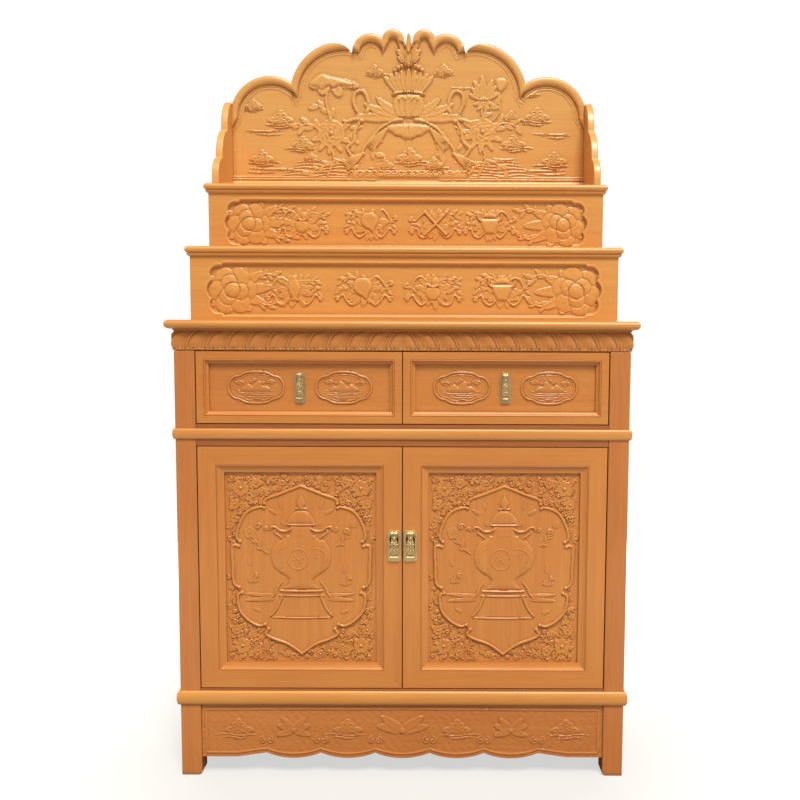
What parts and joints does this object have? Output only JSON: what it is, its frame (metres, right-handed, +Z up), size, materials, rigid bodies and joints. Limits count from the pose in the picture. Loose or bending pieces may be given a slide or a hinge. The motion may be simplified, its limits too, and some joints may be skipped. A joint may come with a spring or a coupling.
{
  "type": "altar cabinet",
  "caption": "Carved wooden household altar cabinet: doors and drawers below, stepped shelves for offerings on its top, and a lobed back screen carved with a lotus.",
  "frame": {"origin": "on the floor in the middle of the footprint", "axes": "+Z up; +X to the right as seen from the front; +Y from the front to the back, so the doors face -Y"},
  "size_m": [1.08, 0.48, 1.8825],
  "materials": {
    "case_wood": "clear satin lacquer on honey-coloured wood",
    "leaf_wood": "clear satin lacquer on honey-coloured wood",
    "screen_wood": "clear satin lacquer on lighter, carved wood",
    "inner_wood": "planed, thinly sealed wood",
    "brass": "cast and lightly worn"
  },
  "bodies": {
    "cabinet": {"post_front_left": "case_wood", "post_front_right": "case_wood", "post_back_left": "case_wood", "post_back_right": "case_wood", "waist_rail": "case_wood", "base_rail": "case_wood", "side_panel_left": "case_wood", "side_panel_right": "case_wood", "cabinet_back_panel": "case_wood", "bottom_board": "inner_wood", "middle_board": "inner_wood", "drawer_divider": "inner_wood", "waist_moulding_front": "case_wood", "waist_moulding_left": "case_wood", "waist_moulding_right": "case_wood", "base_moulding_front": "case_wood", "base_moulding_left": "case_wood", "base_moulding_right": "case_wood", "frieze_front": "case_wood", "frieze_left": "case_wood", "frieze_right": "case_wood", "apron_front": "case_wood", "apron_left": "case_wood", "apron_right": "case_wood", "tabletop": "case_wood", "lower_step_riser": "screen_wood", "lower_step_side_left": "screen_wood", "lower_step_side_right": "screen_wood", "lower_step_board": "screen_wood", "upper_step_riser": "screen_wood", "upper_step_side_left": "screen_wood", "upper_step_side_right": "screen_wood", "upper_step_board": "screen_wood", "back_screen": "screen_wood", "wing_left": "screen_wood", "wing_right": "screen_wood"},
    "door_left": {"door_left_left_stile": "leaf_wood", "door_left_right_stile": "leaf_wood", "door_left_top_rail": "leaf_wood", "door_left_bottom_rail": "leaf_wood", "door_left_panel": "leaf_wood", "door_left_pull_plate": "brass"},
    "door_right": {"door_right_left_stile": "leaf_wood", "door_right_right_stile": "leaf_wood", "door_right_top_rail": "leaf_wood", "door_right_bottom_rail": "leaf_wood", "door_right_panel": "leaf_wood", "door_right_pull_plate": "brass"},
    "drawer_left": {"drawer_left_front": "leaf_wood", "drawer_left_panel": "leaf_wood", "drawer_left_tray": "inner_wood", "drawer_left_pull_plate": "brass"},
    "drawer_right": {"drawer_right_front": "leaf_wood", "drawer_right_panel": "leaf_wood", "drawer_right_tray": "inner_wood", "drawer_right_pull_plate": "brass"},
    "door_left_drop": {"door_left_pull_drop": "brass"},
    "door_right_drop": {"door_right_pull_drop": "brass"},
    "drawer_left_drop": {"drawer_left_pull_drop": "brass"},
    "drawer_right_drop": {"drawer_right_pull_drop": "brass"}
  },
  "joints": [
    {"name": "door_left_hinge", "type": "hinge", "parent": "cabinet", "child": "door_left", "pos_m": [-0.469, -0.215, 0.5], "axis": [0, 0, -1], "range_deg": [0, 100]},
    {"name": "door_right_hinge", "type": "hinge", "parent": "cabinet", "child": "door_right", "pos_m": [0.469, -0.215, 0.5], "axis": [0, 0, 1], "range_deg": [0, 100]},
    {"name": "drawer_left_slide", "type": "slide", "parent": "cabinet", "child": "drawer_left", "axis": [0, -1, 0], "range_m": [0, 0.3]},
    {"name": "drawer_right_slide", "type": "slide", "parent": "cabinet", "child": "drawer_right", "axis": [0, -1, 0], "range_m": [0, 0.3]},
    {"name": "door_left_pull", "type": "hinge", "parent": "door_left", "child": "door_left_drop", "pos_m": [-0.019, -0.2271, 0.5848], "axis": [-1, 0, 0], "range_deg": [0, 80]},
    {"name": "door_right_pull", "type": "hinge", "parent": "door_right", "child": "door_right_drop", "pos_m": [0.019, -0.2271, 0.5848], "axis": [-1, 0, 0], "range_deg": [0, 80]},
    {"name": "drawer_left_pull", "type": "hinge", "parent": "drawer_left", "child": "drawer_left_drop", "pos_m": [-0.2375, -0.2148, 0.9513], "axis": [-1, 0, 0], "range_deg": [0, 80]},
    {"name": "drawer_right_pull", "type": "hinge", "parent": "drawer_right", "child": "drawer_right_drop", "pos_m": [0.2375, -0.2148, 0.9513], "axis": [-1, 0, 0], "range_deg": [0, 80]}
  ]
}
